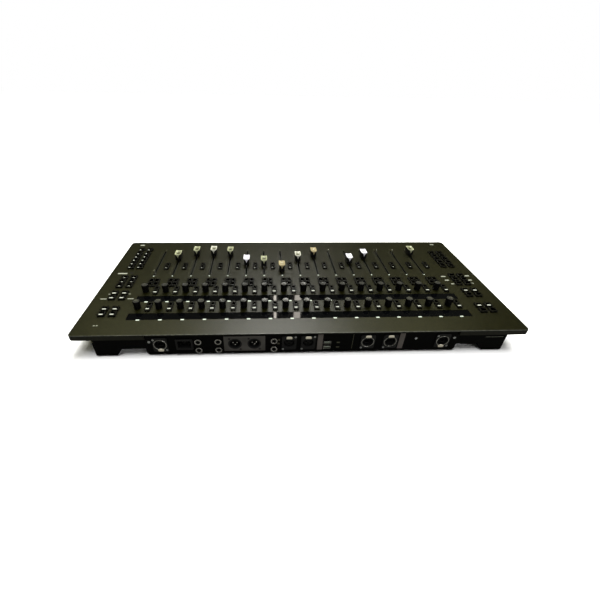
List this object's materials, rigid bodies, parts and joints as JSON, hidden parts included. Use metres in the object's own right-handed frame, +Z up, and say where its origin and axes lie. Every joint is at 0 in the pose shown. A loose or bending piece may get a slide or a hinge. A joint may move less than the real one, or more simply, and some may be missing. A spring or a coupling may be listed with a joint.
{
  "type": "fader control desk",
  "caption": "Low table-top control desk with long faders, turning encoders, key pads and two display strips on a sloping-railed case, with a row of sockets at the back.",
  "frame": {"origin": "middle of the footprint, on the surface that the desk stands on", "axes": "+X along the long side to the operator's right, +Y away from the operator to the sockets, +Z up"},
  "size_m": [0.812, 0.367, 0.068],
  "materials": {
    "panel_paint": "fine-grained dark olive grey paint",
    "case_paint": "satin black paint",
    "key_plastic": "matt moulded key",
    "knob_plastic": "black knob, glossy top",
    "cap_plastic": "aged cream fader cap",
    "lever_steel": "bare steel tang",
    "display_glass": "glossy black display window",
    "circuit_board": "solder mask",
    "socket_black": "black die-cast socket"
  },
  "bodies": {
    "case": {"base_pan": "case_paint", "top_panel": "panel_paint", "rear_panel": "case_paint", "connector_bank": "socket_black", "control_board": "circuit_board", "display_window_front": "display_glass", "display_window_rear": "display_glass"},
    "encoder_front_01": {"encoder_front_01": "knob_plastic"},
    "encoder_front_02": {"encoder_front_02": "knob_plastic"},
    "encoder_front_03": {"encoder_front_03": "knob_plastic"},
    "encoder_front_04": {"encoder_front_04": "knob_plastic"},
    "encoder_front_05": {"encoder_front_05": "knob_plastic"},
    "encoder_front_06": {"encoder_front_06": "knob_plastic"},
    "encoder_front_07": {"encoder_front_07": "knob_plastic"},
    "encoder_front_08": {"encoder_front_08": "knob_plastic"},
    "encoder_front_09": {"encoder_front_09": "knob_plastic"},
    "encoder_front_10": {"encoder_front_10": "knob_plastic"},
    "encoder_front_11": {"encoder_front_11": "knob_plastic"},
    "encoder_front_12": {"encoder_front_12": "knob_plastic"},
    "encoder_front_13": {"encoder_front_13": "knob_plastic"},
    "encoder_front_14": {"encoder_front_14": "knob_plastic"},
    "encoder_front_15": {"encoder_front_15": "knob_plastic"},
    "encoder_front_16": {"encoder_front_16": "knob_plastic"},
    "encoder_rear_01": {"encoder_rear_01": "knob_plastic"},
    "encoder_rear_02": {"encoder_rear_02": "knob_plastic"},
    "encoder_rear_03": {"encoder_rear_03": "knob_plastic"},
    "encoder_rear_04": {"encoder_rear_04": "knob_plastic"},
    "encoder_rear_05": {"encoder_rear_05": "knob_plastic"},
    "encoder_rear_06": {"encoder_rear_06": "knob_plastic"},
    "encoder_rear_07": {"encoder_rear_07": "knob_plastic"},
    "encoder_rear_08": {"encoder_rear_08": "knob_plastic"},
    "encoder_rear_09": {"encoder_rear_09": "knob_plastic"},
    "encoder_rear_10": {"encoder_rear_10": "knob_plastic"},
    "encoder_rear_11": {"encoder_rear_11": "knob_plastic"},
    "encoder_rear_12": {"encoder_rear_12": "knob_plastic"},
    "encoder_rear_13": {"encoder_rear_13": "knob_plastic"},
    "encoder_rear_14": {"encoder_rear_14": "knob_plastic"},
    "encoder_rear_15": {"encoder_rear_15": "knob_plastic"},
    "encoder_rear_16": {"encoder_rear_16": "knob_plastic"},
    "fader_01": {"fader_01": "cap_plastic"},
    "fader_02": {"fader_02": "lever_steel"},
    "fader_03": {"fader_03": "lever_steel"},
    "fader_04": {"fader_04": "cap_plastic"},
    "fader_05": {"fader_05": "cap_plastic"},
    "fader_06": {"fader_06": "lever_steel"},
    "fader_07": {"fader_07": "cap_plastic"},
    "fader_08": {"fader_08": "cap_plastic"},
    "fader_09": {"fader_09": "cap_plastic"},
    "fader_10": {"fader_10": "cap_plastic"},
    "fader_11": {"fader_11": "cap_plastic"},
    "fader_12": {"fader_12": "cap_plastic"},
    "fader_13": {"fader_13": "cap_plastic"},
    "fader_14": {"fader_14": "cap_plastic"},
    "fader_15": {"fader_15": "cap_plastic"},
    "fader_16": {"fader_16": "lever_steel"},
    "encoder_keys": {"encoder_keys": "key_plastic"},
    "select_keys": {"select_keys": "key_plastic"},
    "fader_keys": {"fader_keys": "key_plastic"},
    "left_keys": {"left_keys": "key_plastic"},
    "right_keys": {"right_keys": "key_plastic"}
  },
  "joints": [
    {"name": "encoder_front_01_turn", "type": "hinge", "parent": "case", "child": "encoder_front_01", "pos_m": [-0.29, 0.0466, 0.05], "axis": [0, 0, 1], "continuous": true},
    {"name": "encoder_front_02_turn", "type": "hinge", "parent": "case", "child": "encoder_front_02", "pos_m": [-0.25, 0.0466, 0.05], "axis": [0, 0, 1], "continuous": true},
    {"name": "encoder_front_03_turn", "type": "hinge", "parent": "case", "child": "encoder_front_03", "pos_m": [-0.21, 0.0466, 0.05], "axis": [0, 0, 1], "continuous": true},
    {"name": "encoder_front_04_turn", "type": "hinge", "parent": "case", "child": "encoder_front_04", "pos_m": [-0.17, 0.0466, 0.05], "axis": [0, 0, 1], "continuous": true},
    {"name": "encoder_front_05_turn", "type": "hinge", "parent": "case", "child": "encoder_front_05", "pos_m": [-0.13, 0.0466, 0.05], "axis": [0, 0, 1], "continuous": true},
    {"name": "encoder_front_06_turn", "type": "hinge", "parent": "case", "child": "encoder_front_06", "pos_m": [-0.09, 0.0466, 0.05], "axis": [0, 0, 1], "continuous": true},
    {"name": "encoder_front_07_turn", "type": "hinge", "parent": "case", "child": "encoder_front_07", "pos_m": [-0.05, 0.0466, 0.05], "axis": [0, 0, 1], "continuous": true},
    {"name": "encoder_front_08_turn", "type": "hinge", "parent": "case", "child": "encoder_front_08", "pos_m": [-0.01, 0.0466, 0.05], "axis": [0, 0, 1], "continuous": true},
    {"name": "encoder_front_09_turn", "type": "hinge", "parent": "case", "child": "encoder_front_09", "pos_m": [0.03, 0.0466, 0.05], "axis": [0, 0, 1], "continuous": true},
    {"name": "encoder_front_10_turn", "type": "hinge", "parent": "case", "child": "encoder_front_10", "pos_m": [0.07, 0.0466, 0.05], "axis": [0, 0, 1], "continuous": true},
    {"name": "encoder_front_11_turn", "type": "hinge", "parent": "case", "child": "encoder_front_11", "pos_m": [0.11, 0.0466, 0.05], "axis": [0, 0, 1], "continuous": true},
    {"name": "encoder_front_12_turn", "type": "hinge", "parent": "case", "child": "encoder_front_12", "pos_m": [0.15, 0.0466, 0.05], "axis": [0, 0, 1], "continuous": true},
    {"name": "encoder_front_13_turn", "type": "hinge", "parent": "case", "child": "encoder_front_13", "pos_m": [0.19, 0.0466, 0.05], "axis": [0, 0, 1], "continuous": true},
    {"name": "encoder_front_14_turn", "type": "hinge", "parent": "case", "child": "encoder_front_14", "pos_m": [0.23, 0.0466, 0.05], "axis": [0, 0, 1], "continuous": true},
    {"name": "encoder_front_15_turn", "type": "hinge", "parent": "case", "child": "encoder_front_15", "pos_m": [0.27, 0.0466, 0.05], "axis": [0, 0, 1], "continuous": true},
    {"name": "encoder_front_16_turn", "type": "hinge", "parent": "case", "child": "encoder_front_16", "pos_m": [0.31, 0.0466, 0.05], "axis": [0, 0, 1], "continuous": true},
    {"name": "encoder_rear_01_turn", "type": "hinge", "parent": "case", "child": "encoder_rear_01", "pos_m": [-0.29, 0.1036, 0.05], "axis": [0, 0, 1], "continuous": true},
    {"name": "encoder_rear_02_turn", "type": "hinge", "parent": "case", "child": "encoder_rear_02", "pos_m": [-0.25, 0.1036, 0.05], "axis": [0, 0, 1], "continuous": true},
    {"name": "encoder_rear_03_turn", "type": "hinge", "parent": "case", "child": "encoder_rear_03", "pos_m": [-0.21, 0.1036, 0.05], "axis": [0, 0, 1], "continuous": true},
    {"name": "encoder_rear_04_turn", "type": "hinge", "parent": "case", "child": "encoder_rear_04", "pos_m": [-0.17, 0.1036, 0.05], "axis": [0, 0, 1], "continuous": true},
    {"name": "encoder_rear_05_turn", "type": "hinge", "parent": "case", "child": "encoder_rear_05", "pos_m": [-0.13, 0.1036, 0.05], "axis": [0, 0, 1], "continuous": true},
    {"name": "encoder_rear_06_turn", "type": "hinge", "parent": "case", "child": "encoder_rear_06", "pos_m": [-0.09, 0.1036, 0.05], "axis": [0, 0, 1], "continuous": true},
    {"name": "encoder_rear_07_turn", "type": "hinge", "parent": "case", "child": "encoder_rear_07", "pos_m": [-0.05, 0.1036, 0.05], "axis": [0, 0, 1], "continuous": true},
    {"name": "encoder_rear_08_turn", "type": "hinge", "parent": "case", "child": "encoder_rear_08", "pos_m": [-0.01, 0.1036, 0.05], "axis": [0, 0, 1], "continuous": true},
    {"name": "encoder_rear_09_turn", "type": "hinge", "parent": "case", "child": "encoder_rear_09", "pos_m": [0.03, 0.1036, 0.05], "axis": [0, 0, 1], "continuous": true},
    {"name": "encoder_rear_10_turn", "type": "hinge", "parent": "case", "child": "encoder_rear_10", "pos_m": [0.07, 0.1036, 0.05], "axis": [0, 0, 1], "continuous": true},
    {"name": "encoder_rear_11_turn", "type": "hinge", "parent": "case", "child": "encoder_rear_11", "pos_m": [0.11, 0.1036, 0.05], "axis": [0, 0, 1], "continuous": true},
    {"name": "encoder_rear_12_turn", "type": "hinge", "parent": "case", "child": "encoder_rear_12", "pos_m": [0.15, 0.1036, 0.05], "axis": [0, 0, 1], "continuous": true},
    {"name": "encoder_rear_13_turn", "type": "hinge", "parent": "case", "child": "encoder_rear_13", "pos_m": [0.19, 0.1036, 0.05], "axis": [0, 0, 1], "continuous": true},
    {"name": "encoder_rear_14_turn", "type": "hinge", "parent": "case", "child": "encoder_rear_14", "pos_m": [0.23, 0.1036, 0.05], "axis": [0, 0, 1], "continuous": true},
    {"name": "encoder_rear_15_turn", "type": "hinge", "parent": "case", "child": "encoder_rear_15", "pos_m": [0.27, 0.1036, 0.05], "axis": [0, 0, 1], "continuous": true},
    {"name": "encoder_rear_16_turn", "type": "hinge", "parent": "case", "child": "encoder_rear_16", "pos_m": [0.31, 0.1036, 0.05], "axis": [0, 0, 1], "continuous": true},
    {"name": "fader_01_slide", "type": "slide", "parent": "case", "child": "fader_01", "axis": [0, 1, 0], "range_m": [-0.01, 0.09]},
    {"name": "fader_02_slide", "type": "slide", "parent": "case", "child": "fader_02", "axis": [0, 1, 0], "range_m": [-0.002, 0.098]},
    {"name": "fader_03_slide", "type": "slide", "parent": "case", "child": "fader_03", "axis": [0, 1, 0], "range_m": [-0.002, 0.098]},
    {"name": "fader_04_slide", "type": "slide", "parent": "case", "child": "fader_04", "axis": [0, 1, 0], "range_m": [-0.026, 0.074]},
    {"name": "fader_05_slide", "type": "slide", "parent": "case", "child": "fader_05", "axis": [0, 1, 0], "range_m": [-0.05, 0.05]},
    {"name": "fader_06_slide", "type": "slide", "parent": "case", "child": "fader_06", "axis": [0, 1, 0], "range_m": [-0.002, 0.098]},
    {"name": "fader_07_slide", "type": "slide", "parent": "case", "child": "fader_07", "axis": [0, 1, 0], "range_m": [-0.017, 0.083]},
    {"name": "fader_08_slide", "type": "slide", "parent": "case", "child": "fader_08", "axis": [0, 1, 0], "range_m": [-0.038, 0.062]},
    {"name": "fader_09_slide", "type": "slide", "parent": "case", "child": "fader_09", "axis": [0, 1, 0], "range_m": [-0.084, 0.016]},
    {"name": "fader_10_slide", "type": "slide", "parent": "case", "child": "fader_10", "axis": [0, 1, 0], "range_m": [-0.06, 0.04]},
    {"name": "fader_11_slide", "type": "slide", "parent": "case", "child": "fader_11", "axis": [0, 1, 0], "range_m": [-0.055, 0.045]},
    {"name": "fader_12_slide", "type": "slide", "parent": "case", "child": "fader_12", "axis": [0, 1, 0], "range_m": [-0.012, 0.088]},
    {"name": "fader_13_slide", "type": "slide", "parent": "case", "child": "fader_13", "axis": [0, 1, 0], "range_m": [-0.008, 0.092]},
    {"name": "fader_14_slide", "type": "slide", "parent": "case", "child": "fader_14", "axis": [0, 1, 0], "range_m": [-0.01, 0.09]},
    {"name": "fader_15_slide", "type": "slide", "parent": "case", "child": "fader_15", "axis": [0, 1, 0], "range_m": [-0.031, 0.069]},
    {"name": "fader_16_slide", "type": "slide", "parent": "case", "child": "fader_16", "axis": [0, 1, 0], "range_m": [-0.099, 0.001]},
    {"name": "encoder_keys_press", "type": "slide", "parent": "case", "child": "encoder_keys", "axis": [0, 0, -1], "range_m": [0, 0.0012], "stiffness_N_per_m": 1500, "springref_m": -0.0012},
    {"name": "select_keys_press", "type": "slide", "parent": "case", "child": "select_keys", "axis": [0, 0, -1], "range_m": [0, 0.0012], "stiffness_N_per_m": 1500, "springref_m": -0.0012},
    {"name": "fader_keys_press", "type": "slide", "parent": "case", "child": "fader_keys", "axis": [0, 0, -1], "range_m": [0, 0.0012], "stiffness_N_per_m": 1500, "springref_m": -0.0012},
    {"name": "left_keys_press", "type": "slide", "parent": "case", "child": "left_keys", "axis": [0, 0, -1], "range_m": [0, 0.0012], "stiffness_N_per_m": 1500, "springref_m": -0.0012},
    {"name": "right_keys_press", "type": "slide", "parent": "case", "child": "right_keys", "axis": [0, 0, -1], "range_m": [0, 0.0012], "stiffness_N_per_m": 1500, "springref_m": -0.0012}
  ]
}
